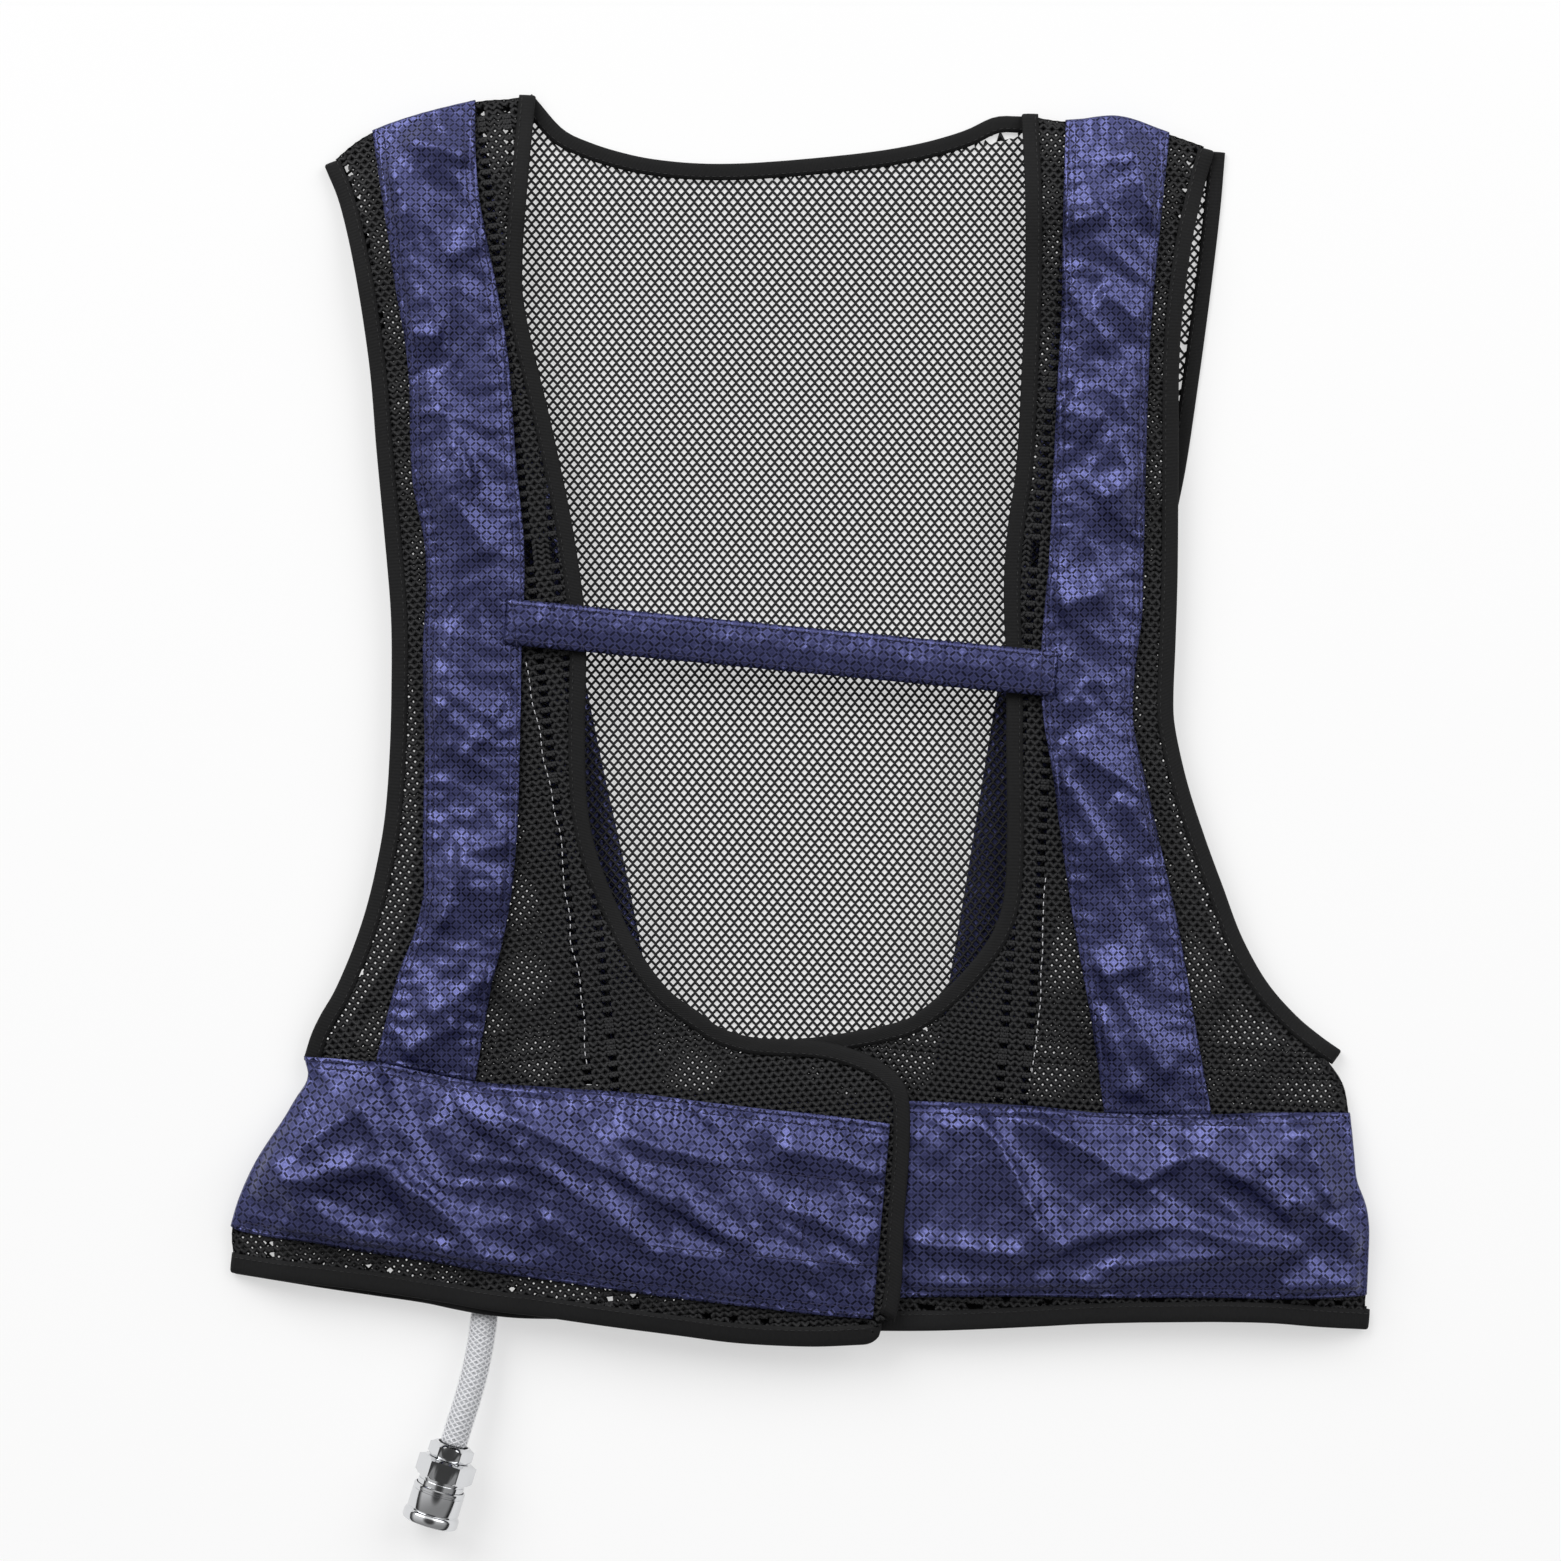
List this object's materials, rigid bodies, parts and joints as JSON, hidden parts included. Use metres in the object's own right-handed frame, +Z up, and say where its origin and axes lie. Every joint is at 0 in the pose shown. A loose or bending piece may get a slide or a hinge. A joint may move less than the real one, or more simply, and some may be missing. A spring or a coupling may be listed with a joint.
{
  "type": "cooling vest",
  "caption": "Sleeveless net vest with blue air ducts and belt, taped edges, chest strap, lapped front and a short air hose with a quick coupler.",
  "frame": {"origin": "on the surface the vest lies on, under the middle of the cloth", "axes": "+X towards the vest's right side in the picture, +Y from the hem to the neck, +Z up from the surface"},
  "size_m": [0.4889, 0.616, 0.0255],
  "materials": {
    "net": "open dark polyester net",
    "binding_tape": "matt woven tape folded over the edge",
    "blue_cloth": "satin woven cloth with a small diamond pattern",
    "fastener": "hook and loop pile",
    "hose_plastic": "clear braided hose",
    "rubber": "matt",
    "chrome": "bright plated"
  },
  "bodies": {
    "vest": {"back_panel": "net", "front_panel_left": "net", "front_panel_right": "net", "neckline_binding_left": "binding_tape", "neckline_binding_right": "binding_tape", "back_neck_binding": "binding_tape", "armhole_binding_front_left": "binding_tape", "armhole_binding_front_right": "binding_tape", "armhole_binding_back_left": "binding_tape", "armhole_binding_back_right": "binding_tape", "hem_binding_back": "binding_tape", "hem_binding_left": "binding_tape", "hem_binding_right": "binding_tape", "front_belt_left": "blue_cloth", "front_belt_right": "blue_cloth", "back_belt": "blue_cloth", "front_duct_left": "blue_cloth", "front_duct_right": "blue_cloth", "back_duct_left": "blue_cloth", "back_duct_right": "blue_cloth", "chest_strap": "blue_cloth", "loop_patch": "fastener", "hook_patch": "fastener", "air_hose": "hose_plastic", "hose_inlet": "rubber", "hose_nut": "chrome", "coupler_body": "chrome"},
    "coupler_sleeve": {"coupler_sleeve": "chrome"}
  },
  "joints": [
    {"name": "sleeve_slide", "type": "slide", "parent": "vest", "child": "coupler_sleeve", "axis": [0.2957, 0.9553, 0], "range_m": [0, 0.0035], "stiffness_N_per_m": 2000, "springref_m": -0.001}
  ]
}
